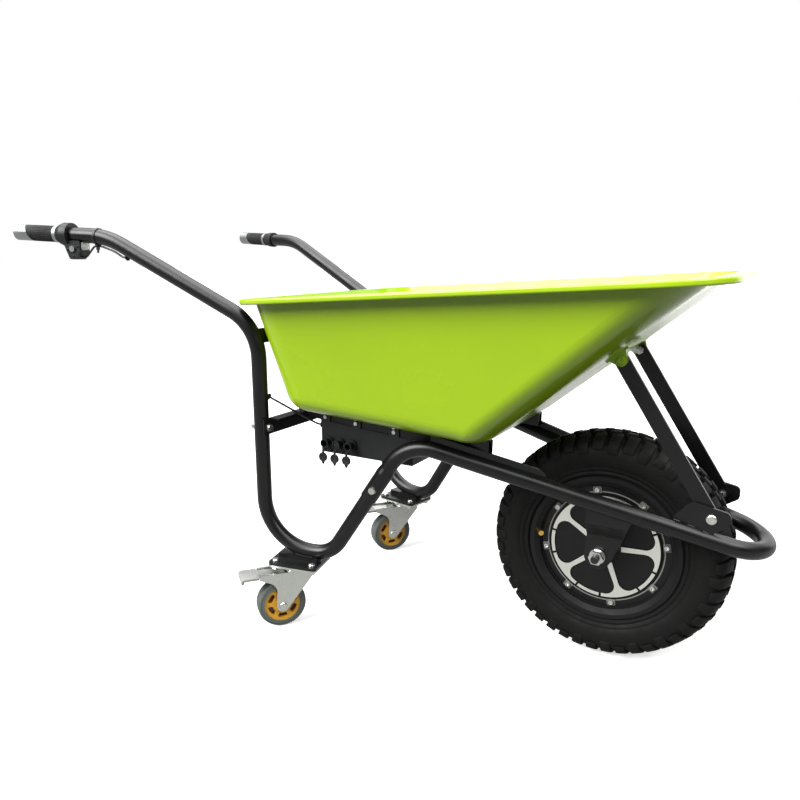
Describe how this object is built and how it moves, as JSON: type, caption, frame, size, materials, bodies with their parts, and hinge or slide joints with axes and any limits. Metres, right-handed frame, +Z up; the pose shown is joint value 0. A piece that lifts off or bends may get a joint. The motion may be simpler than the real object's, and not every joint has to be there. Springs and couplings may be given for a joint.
{
  "type": "electric wheelbarrow",
  "caption": "Powered wheelbarrow: green steel tub on a black bent-tube frame, hub motor wheel with knobby tyre in front, braked swivel casters behind, twist throttle on the right handle.",
  "frame": {"origin": "on the ground, under the middle of the whole machine", "axes": "+X forward to the drive wheel, +Y to the operator's left, +Z up"},
  "size_m": [1.4594, 0.737, 0.8052],
  "materials": {
    "green_paint": "gloss powder coat",
    "black_paint": "satin powder coat",
    "tyre_rubber": "knobby, matt",
    "hub_black": "satin, machined spokes bright",
    "zinc_steel": "bright zinc plate",
    "machined_aluminium": "satin machined",
    "black_plastic": "fine moulded grain",
    "black_rubber": "matt",
    "grey_rubber": "matt",
    "amber_plastic": "gloss",
    "brass": "bright",
    "lamination_steel": "bare",
    "magnet": "nickel grey",
    "pack_film": "shrink film"
  },
  "bodies": {
    "frame": {"tub": "green_paint", "strut_top_bracket": "green_paint", "front_frame_tube": "black_paint", "rear_frame_tube_right": "black_paint", "rear_frame_tube_left": "black_paint", "rear_cross_member": "black_paint", "tub_rails": "black_paint", "frame_stiffeners": "black_paint", "dropout_plates": "black_paint", "strut_brackets": "black_paint", "front_struts": "black_paint", "tub_rear_brackets": "black_paint", "caster_mount_plates": "black_paint", "strut_bolts": "zinc_steel", "tub_bolts": "zinc_steel", "frame_bolts": "zinc_steel", "box_screws": "zinc_steel", "motor_axle": "zinc_steel", "axle_nuts": "zinc_steel", "caster_top_plates": "zinc_steel", "caster_plate_bolts": "zinc_steel", "handlebar_stubs": "zinc_steel", "left_grip_trim": "machined_aluminium", "motor_controller": "machined_aluminium", "battery_box": "black_plastic", "battery_box_lid": "black_plastic", "panel_sockets": "black_plastic", "throttle_housing": "black_plastic", "cable_tie": "black_plastic", "left_grip": "black_rubber", "throttle_lead": "black_rubber", "cable_grommets": "black_rubber", "motor_stator": "lamination_steel", "battery_pack": "pack_film"},
    "wheel": {"tyre": "tyre_rubber", "hub_rim": "hub_black", "hub_cover_right": "hub_black", "hub_cover_left": "hub_black", "hub_screws": "zinc_steel", "magnet_ring": "magnet", "hub_bearings": "zinc_steel", "valve_stem": "brass"},
    "throttle": {"throttle_grip": "black_rubber", "throttle_trim": "machined_aluminium"},
    "reverse_button": {"reverse_button": "machined_aluminium"},
    "power_button": {"power_button": "black_plastic"},
    "cap_rear": {"socket_cap_rear": "black_rubber"},
    "cap_middle": {"socket_cap_middle": "black_rubber"},
    "cap_front": {"socket_cap_front": "black_rubber"},
    "fork_right": {"caster_fork_right": "zinc_steel", "caster_axle_right": "zinc_steel"},
    "fork_left": {"caster_fork_left": "zinc_steel", "caster_axle_left": "zinc_steel"},
    "roller_right": {"caster_core_right": "amber_plastic", "caster_tyre_right": "grey_rubber"},
    "roller_left": {"caster_core_left": "amber_plastic", "caster_tyre_left": "grey_rubber"},
    "pedal_right": {"caster_pedal_right": "zinc_steel"},
    "pedal_left": {"caster_pedal_left": "zinc_steel"}
  },
  "joints": [
    {"name": "wheel_spin", "type": "hinge", "parent": "frame", "child": "wheel", "pos_m": [0.45715, 0, 0.218], "axis": [0, 1, 0], "continuous": true},
    {"name": "throttle_twist", "type": "hinge", "parent": "frame", "child": "throttle", "pos_m": [-0.58603, -0.32475, 0.78111], "axis": [0.9785, 0.2006, -0.0478], "range_deg": [0, 60], "stiffness_Nm_per_rad": 0.4},
    {"name": "reverse_press", "type": "slide", "parent": "frame", "child": "reverse_button", "axis": [-0.2008, 0.9796, 0], "range_m": [0, 0.003], "stiffness_N_per_m": 400},
    {"name": "power_press", "type": "slide", "parent": "frame", "child": "power_button", "axis": [0, 1, 0], "range_m": [0, 0.003], "stiffness_N_per_m": 400},
    {"name": "cap_rear_swing", "type": "hinge", "parent": "frame", "child": "cap_rear", "pos_m": [-0.07785, -0.1715, 0.361], "axis": [-1, 0, 0], "range_deg": [0, 170]},
    {"name": "cap_middle_swing", "type": "hinge", "parent": "frame", "child": "cap_middle", "pos_m": [-0.04985, -0.1715, 0.361], "axis": [-1, 0, 0], "range_deg": [0, 170]},
    {"name": "cap_front_swing", "type": "hinge", "parent": "frame", "child": "cap_front", "pos_m": [-0.02185, -0.1715, 0.361], "axis": [-1, 0, 0], "range_deg": [0, 170]},
    {"name": "caster_swivel_right", "type": "hinge", "parent": "frame", "child": "fork_right", "pos_m": [-0.10291, -0.22571, 0.12], "axis": [0, 0, 1], "continuous": true},
    {"name": "caster_roll_right", "type": "hinge", "parent": "fork_right", "child": "roller_right", "pos_m": [-0.12991, -0.25788, 0.05], "axis": [0.766, -0.6428, 0], "continuous": true},
    {"name": "brake_pedal_right", "type": "hinge", "parent": "fork_right", "child": "pedal_right", "pos_m": [-0.11576, -0.24103, 0.1126], "axis": [0.766, -0.6428, 0], "range_deg": [0, 12]},
    {"name": "caster_swivel_left", "type": "hinge", "parent": "frame", "child": "fork_left", "pos_m": [-0.10291, 0.22571, 0.12], "axis": [0, 0, 1], "continuous": true},
    {"name": "caster_roll_left", "type": "hinge", "parent": "fork_left", "child": "roller_left", "pos_m": [-0.12991, 0.19354, 0.05], "axis": [0.766, -0.6428, 0], "continuous": true},
    {"name": "brake_pedal_left", "type": "hinge", "parent": "fork_left", "child": "pedal_left", "pos_m": [-0.11576, 0.21039, 0.1126], "axis": [0.766, -0.6428, 0], "range_deg": [0, 12]}
  ]
}
